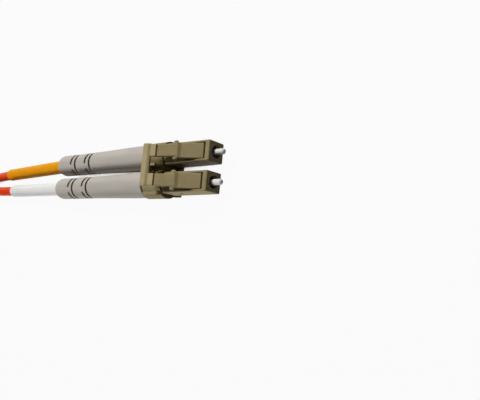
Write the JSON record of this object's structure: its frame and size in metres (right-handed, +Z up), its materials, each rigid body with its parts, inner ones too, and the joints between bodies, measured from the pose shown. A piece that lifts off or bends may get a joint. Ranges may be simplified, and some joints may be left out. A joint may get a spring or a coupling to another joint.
{
  "type": "fibre optic connector",
  "caption": "Duplex LC fibre-optic connector: two sprung ceramic ferrules, latch arms under one shared trigger, long grey boots and a two-leg orange lead tied in a hank.",
  "frame": {"origin": "bottom centre of the connector's own box (ferrule tips to the end of the longer marker sleeve, without the lead), on the surface it lies on", "axes": "+X out of the ferrules, +Y across the pair towards the plug with the yellow sleeve, +Z up, latch side up"},
  "size_m": [0.1723, 0.03, 0.0186],
  "materials": {
    "beige_plastic": "moulded, satin",
    "ceramic": "polished zirconia ceramic",
    "steel": "bright",
    "buffer_plastic": "smooth",
    "crimp_metal": "plain",
    "grey_rubber": "matte, fine grain",
    "yellow_sleeve": "smooth, slightly glossy",
    "white_sleeve": "smooth, slightly glossy",
    "orange_jacket": "smooth jacket",
    "tie_strap": "woven hook-and-loop strap"
  },
  "bodies": {
    "connector": {"plug_frame_a": "beige_plastic", "plug_frame_b": "beige_plastic", "rear_body_a": "beige_plastic", "rear_body_b": "beige_plastic", "crimp_ring_a": "crimp_metal", "crimp_ring_b": "crimp_metal", "boot_a": "grey_rubber", "boot_b": "grey_rubber", "marker_sleeve_a": "yellow_sleeve", "marker_sleeve_b": "white_sleeve", "duplex_clip": "beige_plastic", "ferrule_spring_a": "steel", "ferrule_spring_b": "steel", "cord_a": "orange_jacket", "cord_b": "orange_jacket", "cord_hank": "orange_jacket", "lead_tie": "tie_strap"},
    "latch_a": {"latch_arm_a": "beige_plastic"},
    "latch_b": {"latch_arm_b": "beige_plastic"},
    "trigger": {"trigger": "beige_plastic"},
    "ferrule_set_a": {"ferrule_a": "ceramic", "ferrule_holder_a": "steel", "buffered_fibre_a": "buffer_plastic"},
    "ferrule_set_b": {"ferrule_b": "ceramic", "ferrule_holder_b": "steel", "buffered_fibre_b": "buffer_plastic"}
  },
  "joints": [
    {"name": "trigger_press", "type": "hinge", "parent": "connector", "child": "trigger", "pos_m": [0.0238, 0, 0.0052], "axis": [0, 1, 0], "range_deg": [0, 14.5], "stiffness_Nm_per_rad": 0.05},
    {"name": "latch_a_flex", "type": "hinge", "parent": "connector", "child": "latch_a", "pos_m": [0.03935, 0.00313, 0.00486], "axis": [0, -1, 0], "range_deg": [0, 8.2], "stiffness_Nm_per_rad": 0.0005},
    {"name": "latch_b_flex", "type": "hinge", "parent": "connector", "child": "latch_b", "pos_m": [0.03935, -0.00313, 0.00486], "axis": [0, -1, 0], "range_deg": [0, 8.2], "stiffness_Nm_per_rad": 0.0005},
    {"name": "ferrule_a_spring", "type": "slide", "parent": "connector", "child": "ferrule_set_a", "axis": [-1, 0, 0], "range_m": [0, 0.0012], "stiffness_N_per_m": 1000, "deforming": ["ferrule_spring_a"]},
    {"name": "ferrule_b_spring", "type": "slide", "parent": "connector", "child": "ferrule_set_b", "axis": [-1, 0, 0], "range_m": [0, 0.0012], "stiffness_N_per_m": 1000, "deforming": ["ferrule_spring_b"]}
  ],
  "couplings": [
    {"joint": "latch_a_flex", "follows": "trigger_press", "ratio": 0.55172},
    {"joint": "latch_b_flex", "follows": "trigger_press", "ratio": 0.55172}
  ]
}
